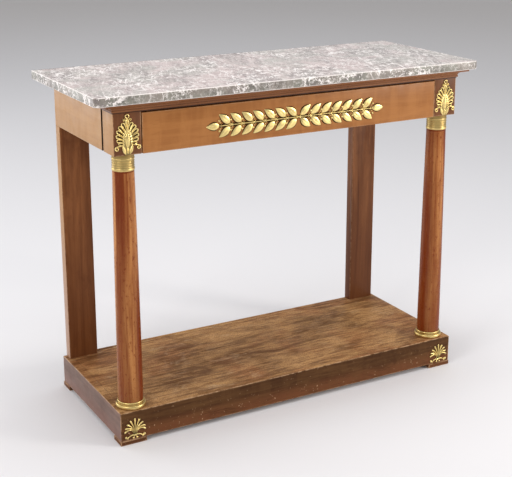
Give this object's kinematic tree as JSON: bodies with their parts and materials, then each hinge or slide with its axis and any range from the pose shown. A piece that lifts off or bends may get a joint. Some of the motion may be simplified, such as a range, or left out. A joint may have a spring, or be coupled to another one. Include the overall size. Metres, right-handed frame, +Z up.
{
  "type": "pier table",
  "caption": "Free-standing console table with a loose marble slab, a frieze drawer, front columns, rear pilasters and a low plinth shelf, with gilt mounts.",
  "frame": {"origin": "on the floor, under the middle of the marble slab", "axes": "+X to the right along the front, +Y to the back, +Z up"},
  "size_m": [1.104, 0.442, 0.884],
  "materials": {
    "marble": "polished grey-mauve marble with pale veins",
    "mahogany": "french-polished dark mahogany",
    "figured_mahogany": "french-polished figured mahogany veneer",
    "secondary_wood": "plain planed oak",
    "gilt_bronze": "fire-gilt chased bronze",
    "brass": "lacquered turned brass"
  },
  "bodies": {
    "carcase": {"anthemion_left": "gilt_bronze", "anthemion_right": "gilt_bronze", "back_rail": "secondary_wood", "column_capital_left": "brass", "column_capital_right": "brass", "column_ring_left": "brass", "column_ring_right": "brass", "column_shaft_left": "mahogany", "column_shaft_right": "mahogany", "corner_block_left": "mahogany", "corner_block_right": "mahogany", "cornice_front": "mahogany", "cornice_return_left": "mahogany", "cornice_return_right": "mahogany", "drawer_bearer": "secondary_wood", "drawer_guide_left": "secondary_wood", "drawer_guide_right": "secondary_wood", "drawer_kicker_left": "secondary_wood", "drawer_kicker_right": "secondary_wood", "drawer_runner_left": "secondary_wood", "drawer_runner_right": "secondary_wood", "foot_front_left": "mahogany", "foot_front_right": "mahogany", "foot_rear_left": "mahogany", "foot_rear_right": "mahogany", "front_top_rail": "secondary_wood", "marble_top": "marble", "palmette_left": "gilt_bronze", "palmette_right": "gilt_bronze", "pilaster_left": "mahogany", "pilaster_right": "mahogany", "platform_bearer": "secondary_wood", "platform_panel": "mahogany", "plinth_back": "mahogany", "plinth_block_front_left": "secondary_wood", "plinth_block_front_right": "secondary_wood", "plinth_block_rear_left": "secondary_wood", "plinth_block_rear_right": "secondary_wood", "plinth_front": "mahogany", "plinth_side_left": "mahogany", "plinth_side_right": "mahogany", "side_apron_left": "mahogany", "side_apron_right": "mahogany"},
    "drawer": {"drawer_back": "secondary_wood", "drawer_bottom": "secondary_wood", "drawer_front": "figured_mahogany", "drawer_side_left": "secondary_wood", "drawer_side_right": "secondary_wood", "laurel_branch_left": "gilt_bronze", "laurel_branch_right": "gilt_bronze"}
  },
  "joints": [
    {"name": "drawer_slide", "type": "slide", "parent": "carcase", "child": "drawer", "axis": [0, -1, 0], "range_m": [0, 0.27]}
  ]
}
